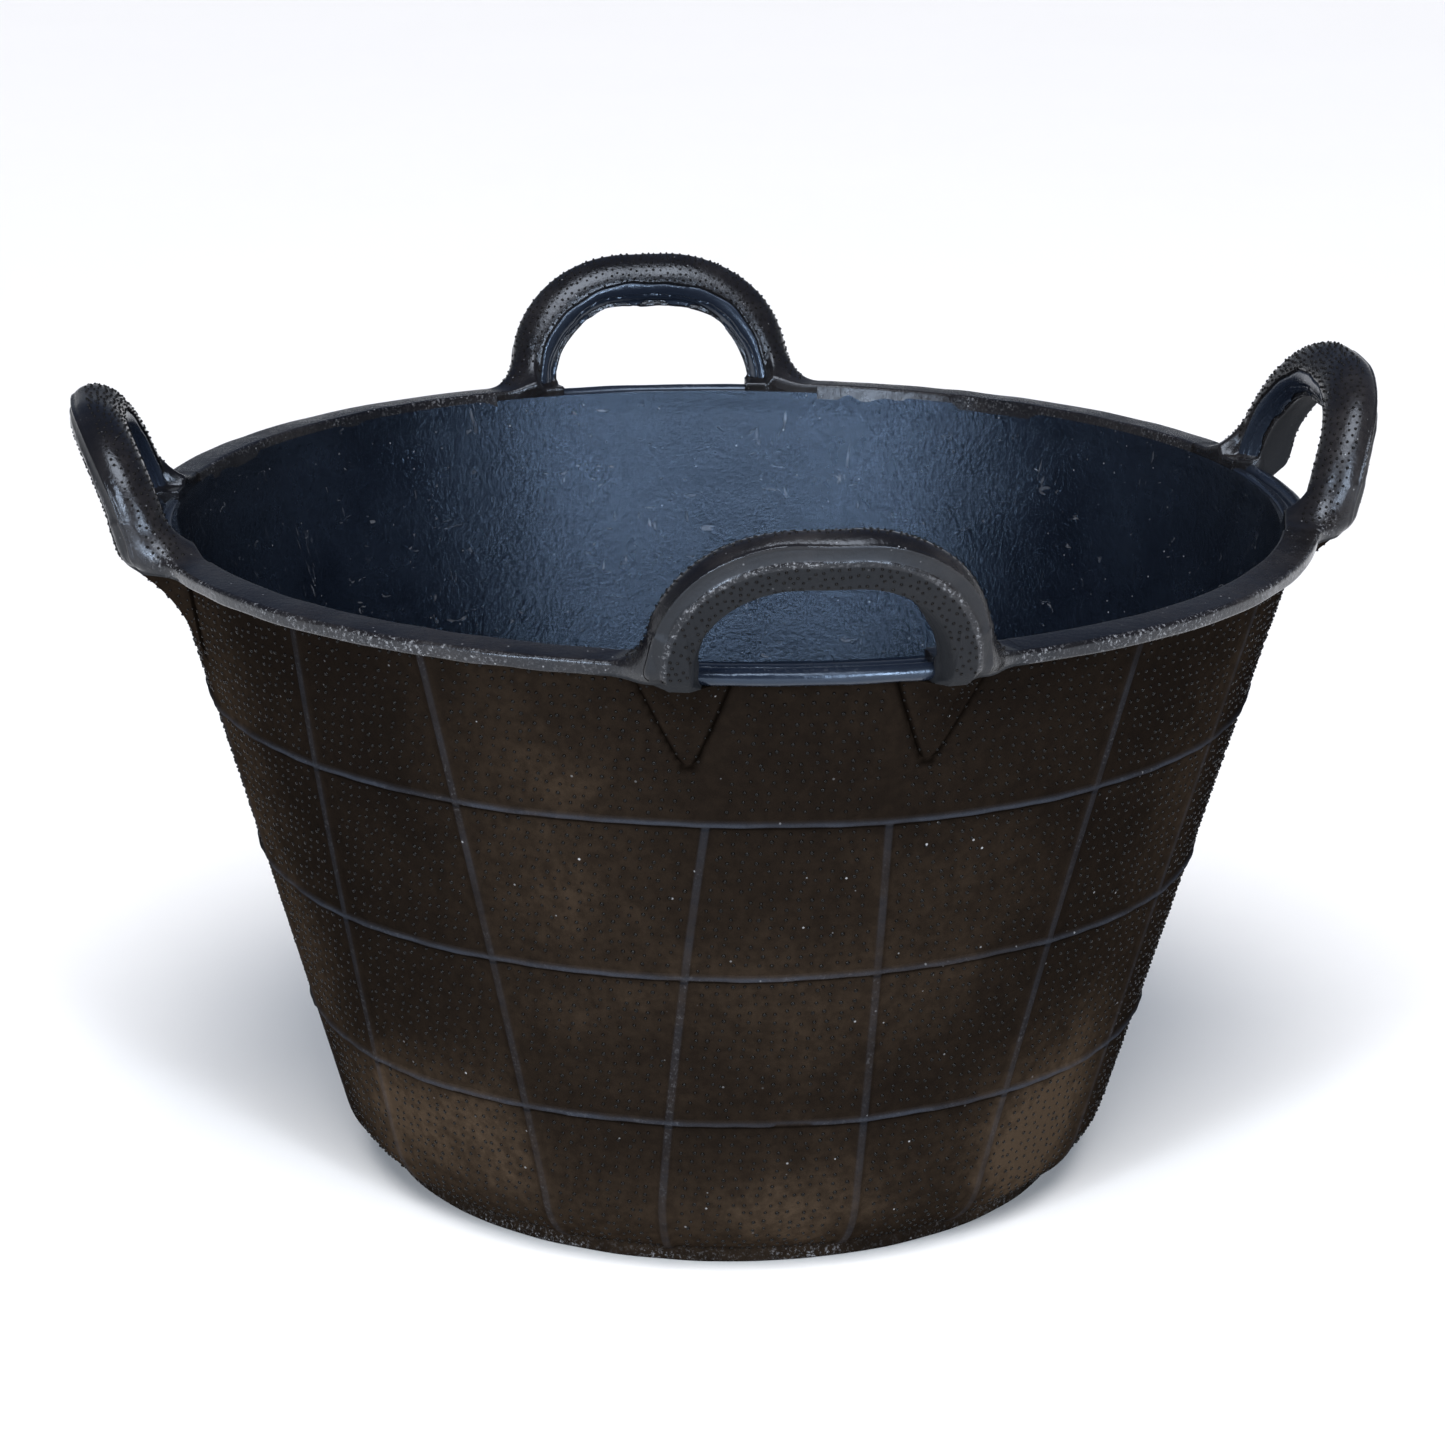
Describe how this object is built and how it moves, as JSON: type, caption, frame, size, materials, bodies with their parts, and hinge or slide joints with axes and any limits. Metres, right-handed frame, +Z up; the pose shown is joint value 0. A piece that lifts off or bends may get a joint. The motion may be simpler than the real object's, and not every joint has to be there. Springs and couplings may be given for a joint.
{
  "type": "mortar mixing tub",
  "caption": "Round cone-sided rubber tub with a foot ring, ribbed pimpled wall, turned-out rim and leaning loop handles, for mixing and carrying mortar.",
  "frame": {"origin": "centre of the foot ring's underside, on the ground", "axes": "+Z up through the mouth; the handles lie on -Y (front), +X, +Y and -X"},
  "size_m": [0.6608, 0.6608, 0.411],
  "materials": {
    "rubber_outer": "moulded black rubber, satin, with fine raised pimples and a dusty film",
    "rubber_inner": "smooth black rubber, worn satin with scratches and dried mortar dust",
    "rubber_rim": "smooth black rubber, polished by handling, chalky worn edges",
    "canvas_ply": "rubberised cotton canvas, hidden inside the wall and base",
    "cord_core": "laid cord, hidden inside the handles"
  },
  "bodies": {
    "root": {"wall_outer_rubber": "rubber_outer", "wall_canvas": "canvas_ply", "wall_inner_rubber": "rubber_inner", "base_outer_rubber": "rubber_outer", "base_canvas": "canvas_ply", "base_inner_rubber": "rubber_inner", "foot_ring": "rubber_outer", "rim_front_right": "rubber_rim", "rim_back_right": "rubber_rim", "rim_back_left": "rubber_rim", "rim_front_left": "rubber_rim", "sill_front": "rubber_rim", "sill_right": "rubber_rim", "sill_back": "rubber_rim", "sill_left": "rubber_rim", "spurs_front": "rubber_outer", "spurs_right": "rubber_outer", "spurs_back": "rubber_outer", "spurs_left": "rubber_outer", "handle_skin_front": "rubber_outer", "handle_skin_right": "rubber_outer", "handle_skin_back": "rubber_outer", "handle_skin_left": "rubber_outer", "handle_lining_front": "rubber_rim", "handle_lining_right": "rubber_rim", "handle_lining_back": "rubber_rim", "handle_lining_left": "rubber_rim", "handle_core_front": "cord_core", "handle_core_right": "cord_core", "handle_core_back": "cord_core", "handle_core_left": "cord_core"}
  },
  "joints": []
}
